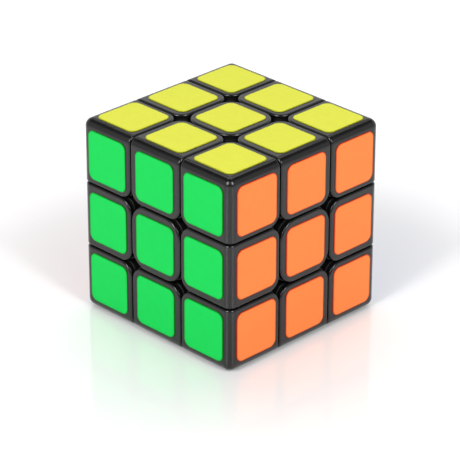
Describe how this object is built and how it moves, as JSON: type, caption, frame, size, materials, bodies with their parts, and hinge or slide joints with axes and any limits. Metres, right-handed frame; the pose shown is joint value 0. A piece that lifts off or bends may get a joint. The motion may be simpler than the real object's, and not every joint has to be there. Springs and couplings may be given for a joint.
{
  "type": "twisty puzzle cube",
  "caption": "Twisty puzzle cube with coloured sticker faces, whose outer layers turn on spring-loaded screws around a hidden core.",
  "frame": {"origin": "centre of the core, where the axes of all the faces meet", "axes": "+Z to the up (yellow) face, -Y to the front (green) face, +X to the right (orange) face"},
  "size_m": [0.057, 0.057, 0.057],
  "materials": {
    "black_plastic": "satin moulded plastic, near black",
    "core_plastic": "plain moulded plastic, near black",
    "screw_steel": "zinc plated steel",
    "sticker_film": "matt vinyl film; each sticker of the set takes the colour of the side it is on",
    "sticker_yellow": "matt vinyl film",
    "sticker_white": "matt vinyl film",
    "sticker_green": "matt vinyl film",
    "sticker_blue": "matt vinyl film",
    "sticker_orange": "matt vinyl film",
    "sticker_red": "matt vinyl film"
  },
  "bodies": {
    "core": {"core_spider": "core_plastic", "tension_hardware": "screw_steel"},
    "up_centre": {"up_centre_base": "black_plastic", "up_centre_cap": "black_plastic", "up_centre_sticker": "sticker_yellow"},
    "down_centre": {"down_centre_base": "black_plastic", "down_centre_cap": "black_plastic", "down_centre_sticker": "sticker_white"},
    "front_centre": {"front_centre_base": "black_plastic", "front_centre_cap": "black_plastic", "front_centre_sticker": "sticker_green"},
    "back_centre": {"back_centre_base": "black_plastic", "back_centre_cap": "black_plastic", "back_centre_sticker": "sticker_blue"},
    "left_centre": {"left_centre_base": "black_plastic", "left_centre_cap": "black_plastic", "left_centre_sticker": "sticker_red"},
    "right_centre": {"right_centre_base": "black_plastic", "right_centre_cap": "black_plastic", "right_centre_sticker": "sticker_orange"},
    "up_front_edge": {"up_front_edge": "black_plastic", "up_front_edge_stickers": "sticker_film"},
    "up_back_edge": {"up_back_edge": "black_plastic", "up_back_edge_stickers": "sticker_film"},
    "up_left_edge": {"up_left_edge": "black_plastic", "up_left_edge_stickers": "sticker_film"},
    "up_right_edge": {"up_right_edge": "black_plastic", "up_right_edge_stickers": "sticker_film"},
    "down_front_edge": {"down_front_edge": "black_plastic", "down_front_edge_stickers": "sticker_film"},
    "down_back_edge": {"down_back_edge": "black_plastic", "down_back_edge_stickers": "sticker_film"},
    "down_left_edge": {"down_left_edge": "black_plastic", "down_left_edge_stickers": "sticker_film"},
    "down_right_edge": {"down_right_edge": "black_plastic", "down_right_edge_stickers": "sticker_film"},
    "front_left_edge": {"front_left_edge": "black_plastic", "front_left_edge_stickers": "sticker_film"},
    "front_right_edge": {"front_right_edge": "black_plastic", "front_right_edge_stickers": "sticker_film"},
    "back_left_edge": {"back_left_edge": "black_plastic", "back_left_edge_stickers": "sticker_film"},
    "back_right_edge": {"back_right_edge": "black_plastic", "back_right_edge_stickers": "sticker_film"},
    "up_front_left_corner": {"up_front_left_corner": "black_plastic", "up_front_left_corner_stickers": "sticker_film"},
    "up_front_right_corner": {"up_front_right_corner": "black_plastic", "up_front_right_corner_stickers": "sticker_film"},
    "up_back_left_corner": {"up_back_left_corner": "black_plastic", "up_back_left_corner_stickers": "sticker_film"},
    "up_back_right_corner": {"up_back_right_corner": "black_plastic", "up_back_right_corner_stickers": "sticker_film"},
    "down_front_left_corner": {"down_front_left_corner": "black_plastic", "down_front_left_corner_stickers": "sticker_film"},
    "down_front_right_corner": {"down_front_right_corner": "black_plastic", "down_front_right_corner_stickers": "sticker_film"},
    "down_back_left_corner": {"down_back_left_corner": "black_plastic", "down_back_left_corner_stickers": "sticker_film"},
    "down_back_right_corner": {"down_back_right_corner": "black_plastic", "down_back_right_corner_stickers": "sticker_film"}
  },
  "joints": [
    {"name": "turn_up", "type": "hinge", "parent": "core", "child": "up_centre", "pos_m": [0, 0, 0], "axis": [0, 0, 1], "continuous": true},
    {"name": "turn_down", "type": "hinge", "parent": "core", "child": "down_centre", "pos_m": [0, 0, 0], "axis": [0, 0, 1], "continuous": true},
    {"name": "turn_front", "type": "hinge", "parent": "core", "child": "front_centre", "pos_m": [0, 0, 0], "axis": [0, 1, 0], "continuous": true},
    {"name": "turn_back", "type": "hinge", "parent": "core", "child": "back_centre", "pos_m": [0, 0, 0], "axis": [0, 1, 0], "continuous": true},
    {"name": "turn_left", "type": "hinge", "parent": "core", "child": "left_centre", "pos_m": [0, 0, 0], "axis": [1, 0, 0], "continuous": true},
    {"name": "turn_right", "type": "hinge", "parent": "core", "child": "right_centre", "pos_m": [0, 0, 0], "axis": [1, 0, 0], "continuous": true},
    {"name": "up_front_edge_turn", "type": "hinge", "parent": "up_centre", "child": "up_front_edge", "pos_m": [0, 0, 0], "axis": [0, 1, 0], "continuous": true},
    {"name": "up_back_edge_turn", "type": "hinge", "parent": "up_centre", "child": "up_back_edge", "pos_m": [0, 0, 0], "axis": [0, 1, 0], "continuous": true},
    {"name": "up_left_edge_turn", "type": "hinge", "parent": "left_centre", "child": "up_left_edge", "pos_m": [0, 0, 0], "axis": [0, 0, 1], "continuous": true},
    {"name": "up_right_edge_turn", "type": "hinge", "parent": "right_centre", "child": "up_right_edge", "pos_m": [0, 0, 0], "axis": [0, 0, 1], "continuous": true},
    {"name": "down_front_edge_turn", "type": "hinge", "parent": "down_centre", "child": "down_front_edge", "pos_m": [0, 0, 0], "axis": [0, 1, 0], "continuous": true},
    {"name": "down_back_edge_turn", "type": "hinge", "parent": "down_centre", "child": "down_back_edge", "pos_m": [0, 0, 0], "axis": [0, 1, 0], "continuous": true},
    {"name": "down_left_edge_turn", "type": "hinge", "parent": "left_centre", "child": "down_left_edge", "pos_m": [0, 0, 0], "axis": [0, 0, 1], "continuous": true},
    {"name": "down_right_edge_turn", "type": "hinge", "parent": "right_centre", "child": "down_right_edge", "pos_m": [0, 0, 0], "axis": [0, 0, 1], "continuous": true},
    {"name": "front_left_edge_turn", "type": "hinge", "parent": "front_centre", "child": "front_left_edge", "pos_m": [0, 0, 0], "axis": [1, 0, 0], "continuous": true},
    {"name": "front_right_edge_turn", "type": "hinge", "parent": "front_centre", "child": "front_right_edge", "pos_m": [0, 0, 0], "axis": [1, 0, 0], "continuous": true},
    {"name": "back_left_edge_turn", "type": "hinge", "parent": "back_centre", "child": "back_left_edge", "pos_m": [0, 0, 0], "axis": [1, 0, 0], "continuous": true},
    {"name": "back_right_edge_turn", "type": "hinge", "parent": "back_centre", "child": "back_right_edge", "pos_m": [0, 0, 0], "axis": [1, 0, 0], "continuous": true},
    {"name": "up_front_left_corner_turn", "type": "hinge", "parent": "up_front_edge", "child": "up_front_left_corner", "pos_m": [0, 0, 0], "axis": [1, 0, 0], "continuous": true},
    {"name": "up_front_right_corner_turn", "type": "hinge", "parent": "up_front_edge", "child": "up_front_right_corner", "pos_m": [0, 0, 0], "axis": [1, 0, 0], "continuous": true},
    {"name": "up_back_left_corner_turn", "type": "hinge", "parent": "up_back_edge", "child": "up_back_left_corner", "pos_m": [0, 0, 0], "axis": [1, 0, 0], "continuous": true},
    {"name": "up_back_right_corner_turn", "type": "hinge", "parent": "up_back_edge", "child": "up_back_right_corner", "pos_m": [0, 0, 0], "axis": [1, 0, 0], "continuous": true},
    {"name": "down_front_left_corner_turn", "type": "hinge", "parent": "down_front_edge", "child": "down_front_left_corner", "pos_m": [0, 0, 0], "axis": [1, 0, 0], "continuous": true},
    {"name": "down_front_right_corner_turn", "type": "hinge", "parent": "down_front_edge", "child": "down_front_right_corner", "pos_m": [0, 0, 0], "axis": [1, 0, 0], "continuous": true},
    {"name": "down_back_left_corner_turn", "type": "hinge", "parent": "down_back_edge", "child": "down_back_left_corner", "pos_m": [0, 0, 0], "axis": [1, 0, 0], "continuous": true},
    {"name": "down_back_right_corner_turn", "type": "hinge", "parent": "down_back_edge", "child": "down_back_right_corner", "pos_m": [0, 0, 0], "axis": [1, 0, 0], "continuous": true}
  ],
  "couplings": [
    {"joint": "up_front_edge_turn", "follows": "turn_front", "ratio": 1},
    {"joint": "up_back_edge_turn", "follows": "turn_back", "ratio": 1},
    {"joint": "up_left_edge_turn", "follows": "turn_up", "ratio": 1},
    {"joint": "up_right_edge_turn", "follows": "turn_up", "ratio": 1},
    {"joint": "down_front_edge_turn", "follows": "turn_front", "ratio": 1},
    {"joint": "down_back_edge_turn", "follows": "turn_back", "ratio": 1},
    {"joint": "down_left_edge_turn", "follows": "turn_down", "ratio": 1},
    {"joint": "down_right_edge_turn", "follows": "turn_down", "ratio": 1},
    {"joint": "front_left_edge_turn", "follows": "turn_left", "ratio": 1},
    {"joint": "front_right_edge_turn", "follows": "turn_right", "ratio": 1},
    {"joint": "back_left_edge_turn", "follows": "turn_left", "ratio": 1},
    {"joint": "back_right_edge_turn", "follows": "turn_right", "ratio": 1},
    {"joint": "up_front_left_corner_turn", "follows": "turn_left", "ratio": 1},
    {"joint": "up_front_right_corner_turn", "follows": "turn_right", "ratio": 1},
    {"joint": "up_back_left_corner_turn", "follows": "turn_left", "ratio": 1},
    {"joint": "up_back_right_corner_turn", "follows": "turn_right", "ratio": 1},
    {"joint": "down_front_left_corner_turn", "follows": "turn_left", "ratio": 1},
    {"joint": "down_front_right_corner_turn", "follows": "turn_right", "ratio": 1},
    {"joint": "down_back_left_corner_turn", "follows": "turn_left", "ratio": 1},
    {"joint": "down_back_right_corner_turn", "follows": "turn_right", "ratio": 1}
  ]
}
